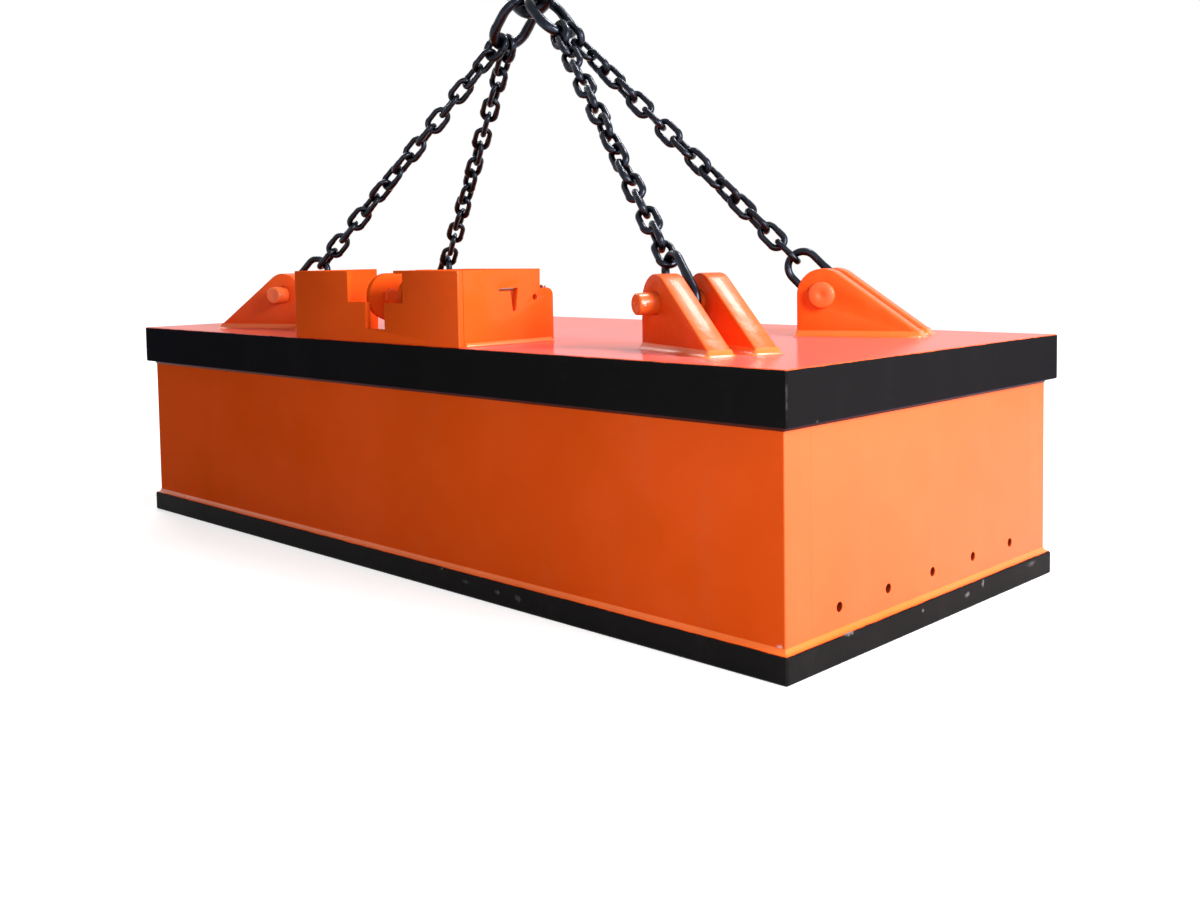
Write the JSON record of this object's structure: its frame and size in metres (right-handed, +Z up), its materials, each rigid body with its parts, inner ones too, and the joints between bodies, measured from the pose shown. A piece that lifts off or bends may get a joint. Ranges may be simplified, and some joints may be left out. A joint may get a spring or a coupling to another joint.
{
  "type": "lifting electromagnet",
  "caption": "Long rectangular lifting electromagnet with pinned corner lugs, a chain sling with a master link, and a guarded terminal box on its top plate.",
  "frame": {"origin": "middle of the flat pole face that the magnet stands on, under the middle of its bounding box", "axes": "+X along the magnet, +Z up toward the master link, -Y toward the side with the terminal box"},
  "size_m": [2.566, 1.132, 1.8267],
  "materials": {
    "black_enamel": "worn black enamel",
    "brass": "plain brass",
    "chain_steel": "dark heat-treated steel",
    "closing_plate": "non-magnetic manganese steel",
    "copper": "lacquered copper strip",
    "core_steel": "machined mild steel",
    "enamel": "glossy orange enamel, chipped at the edges",
    "insulation": "glass laminate",
    "pole_steel": "ground steel, marked by loads",
    "sleeving": "lead sleeving",
    "zinc": "zinc-plated"
  },
  "bodies": {
    "root": {"bottom_plate": "closing_plate", "cable_bolt_left": "zinc", "cable_bolt_right": "zinc", "cable_cheek_left": "enamel", "cable_cheek_right": "enamel", "cable_gland": "brass", "cable_nut_left": "zinc", "cable_nut_right": "zinc", "case_wall_front": "enamel", "case_wall_left": "enamel", "case_wall_rear": "enamel", "case_wall_right": "enamel", "chain_left_front": "chain_steel", "chain_left_rear": "chain_steel", "chain_right_front": "chain_steel", "chain_right_rear": "chain_steel", "coil": "copper", "coil_former": "insulation", "coil_lead_left": "sleeving", "coil_lead_right": "sleeving", "core_pole": "core_steel", "cover_bolt_left_front": "zinc", "cover_bolt_left_rear": "zinc", "cover_bolt_right_front": "zinc", "cover_bolt_right_rear": "zinc", "ear_left_front_inner": "enamel", "ear_left_front_outer": "enamel", "ear_left_rear_inner": "enamel", "ear_left_rear_outer": "enamel", "ear_right_front_inner": "enamel", "ear_right_front_outer": "enamel", "ear_right_rear_inner": "enamel", "ear_right_rear_outer": "enamel", "end_link_left_front": "chain_steel", "end_link_left_rear": "chain_steel", "end_link_right_front": "chain_steel", "end_link_right_rear": "chain_steel", "guard_end_plate_left": "enamel", "guard_end_plate_right": "enamel", "guard_front_plate": "enamel", "guard_lid": "enamel", "joining_link_left": "chain_steel", "joining_link_right": "chain_steel", "master_link": "chain_steel", "pin_left_front": "enamel", "pin_left_rear": "enamel", "pin_right_front": "enamel", "pin_right_rear": "enamel", "pole_rim": "black_enamel", "pole_shoe": "pole_steel", "roll_pin_left_front": "zinc", "roll_pin_left_rear": "zinc", "roll_pin_right_front": "zinc", "roll_pin_right_rear": "zinc", "terminal_board": "insulation", "terminal_box": "enamel", "terminal_cover": "enamel", "terminal_stud_left": "brass", "terminal_stud_right": "brass", "yoke_plate": "enamel"}
  },
  "joints": []
}
